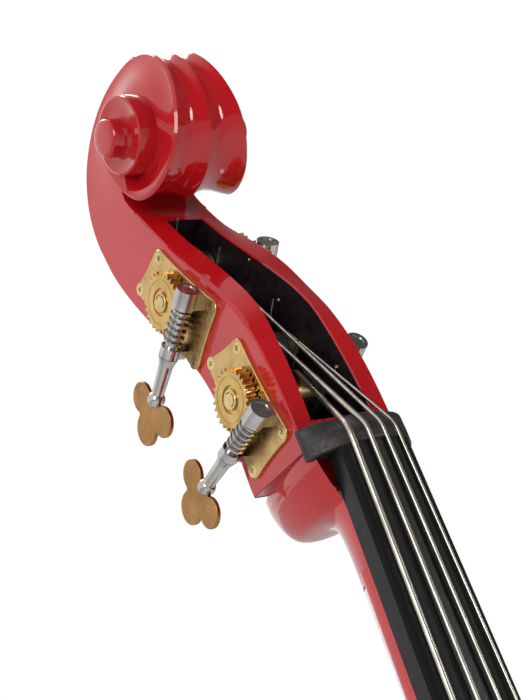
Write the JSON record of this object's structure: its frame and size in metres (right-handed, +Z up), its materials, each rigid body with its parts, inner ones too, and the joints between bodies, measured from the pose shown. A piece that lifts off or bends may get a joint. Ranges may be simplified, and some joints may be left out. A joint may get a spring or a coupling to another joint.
{
  "type": "double bass",
  "caption": "Three-quarter double bass with violin corners, carved scroll, geared tuning machines, ebony fingerboard, bridge, tailpiece and sliding endpin.",
  "frame": {"origin": "middle of the endpin foot's flat end, on the floor", "axes": "+Z up along the soundbox, front facing -Y, +X towards the treble side (the player's view mirrored)"},
  "size_m": [0.6712, 0.4103, 1.9371],
  "materials": {
    "red_lacquer": "high-gloss red lacquer",
    "ebony": "satin black",
    "nut_ebony": "satin, dark grey-brown",
    "spruce": "bare wood",
    "maple": "bare wood, oiled",
    "cord_steel": "twisted wire",
    "black_metal": "satin black",
    "steel": "polished",
    "rubber": "matte",
    "brass": "brushed, slightly aged",
    "key_brass": "darker aged brass",
    "screw_brass": "satin",
    "roller_brass": "satin",
    "string_silk": "dark silk wrapping",
    "string_steel": "flat-wound, satin"
  },
  "bodies": {
    "root": {"back_plate": "red_lacquer", "bass_bar": "spruce", "bearing_posts_a": "steel", "bearing_posts_d": "steel", "bearing_posts_e": "steel", "bearing_posts_g": "steel", "bridge": "maple", "corner_blocks": "spruce", "end_block": "spruce", "endpin_socket": "black_metal", "fingerboard": "ebony", "linings": "spruce", "machine_plate_a": "brass", "machine_plate_d": "brass", "machine_plate_e": "brass", "machine_plate_g": "brass", "neck_block": "spruce", "neck_scroll": "red_lacquer", "nut": "nut_ebony", "plate_screws": "screw_brass", "ribs": "red_lacquer", "roller_bushes": "brass", "saddle": "ebony", "sound_post": "spruce", "string_a": "string_steel", "string_d": "string_steel", "string_e": "string_steel", "string_g": "string_steel", "tail_cord": "cord_steel", "tailpiece": "ebony", "top_plate": "red_lacquer"},
    "roller_e": {"gear_wheel_e": "brass", "string_roller_e": "roller_brass", "string_coil_e": "string_silk", "gear_screw_e": "screw_brass"},
    "key_e": {"worm_shaft_e": "steel", "key_e": "key_brass"},
    "roller_a": {"gear_wheel_a": "brass", "string_roller_a": "roller_brass", "string_coil_a": "string_silk", "gear_screw_a": "screw_brass"},
    "key_a": {"worm_shaft_a": "steel", "key_a": "key_brass"},
    "roller_d": {"gear_wheel_d": "brass", "string_roller_d": "roller_brass", "string_coil_d": "string_silk", "gear_screw_d": "screw_brass"},
    "key_d": {"worm_shaft_d": "steel", "key_d": "key_brass"},
    "roller_g": {"gear_wheel_g": "brass", "string_roller_g": "roller_brass", "string_coil_g": "string_silk", "gear_screw_g": "screw_brass"},
    "key_g": {"worm_shaft_g": "steel", "key_g": "key_brass"},
    "endpin": {"endpin_rod": "steel", "endpin_foot": "rubber"},
    "clamp_screw": {"clamp_screw": "steel"}
  },
  "joints": [
    {"name": "key_e_turn", "type": "hinge", "parent": "root", "child": "key_e", "pos_m": [-0.03949, -0.01358, 1.70666], "axis": [-0.0063, 0.9426, -0.3338], "continuous": true},
    {"name": "roller_e_turn", "type": "hinge", "parent": "root", "child": "roller_e", "pos_m": [-0.02908, -0.00677, 1.72568], "axis": [-0.9992, 0.0073, 0.0393], "continuous": true},
    {"name": "key_a_turn", "type": "hinge", "parent": "root", "child": "key_a", "pos_m": [-0.0364, 0.02493, 1.77817], "axis": [-0.0194, 0.7715, -0.636], "continuous": true},
    {"name": "roller_a_turn", "type": "hinge", "parent": "root", "child": "roller_a", "pos_m": [-0.02608, 0.03796, 1.79367], "axis": [-0.9992, 0.0073, 0.0393], "continuous": true},
    {"name": "key_d_turn", "type": "hinge", "parent": "root", "child": "key_d", "pos_m": [0.03526, 0.04022, 1.80427], "axis": [0.0235, 0.6882, -0.7252], "continuous": true},
    {"name": "roller_d_turn", "type": "hinge", "parent": "root", "child": "roller_d", "pos_m": [0.025, 0.0551, 1.81806], "axis": [0.9992, 0.0073, 0.0393], "continuous": true},
    {"name": "key_g_turn", "type": "hinge", "parent": "root", "child": "key_g", "pos_m": [0.0383, -0.00484, 1.7354], "axis": [0.0124, 0.8787, -0.4771], "continuous": true},
    {"name": "roller_g_turn", "type": "hinge", "parent": "root", "child": "roller_g", "pos_m": [0.02792, 0.00492, 1.75311], "axis": [0.9992, 0.0073, 0.0393], "continuous": true},
    {"name": "endpin_slide", "type": "slide", "parent": "root", "child": "endpin", "axis": [0, 0, -1], "range_m": [-0.085, 0.2]},
    {"name": "clamp_screw_turn", "type": "hinge", "parent": "root", "child": "clamp_screw", "pos_m": [0, -0.02, 0.125], "axis": [0, -1, 0], "range_deg": [0, 540]}
  ],
  "couplings": [
    {"joint": "roller_e_turn", "follows": "key_e_turn", "ratio": -0.037037},
    {"joint": "roller_a_turn", "follows": "key_a_turn", "ratio": -0.037037},
    {"joint": "roller_d_turn", "follows": "key_d_turn", "ratio": -0.037037},
    {"joint": "roller_g_turn", "follows": "key_g_turn", "ratio": -0.037037}
  ]
}
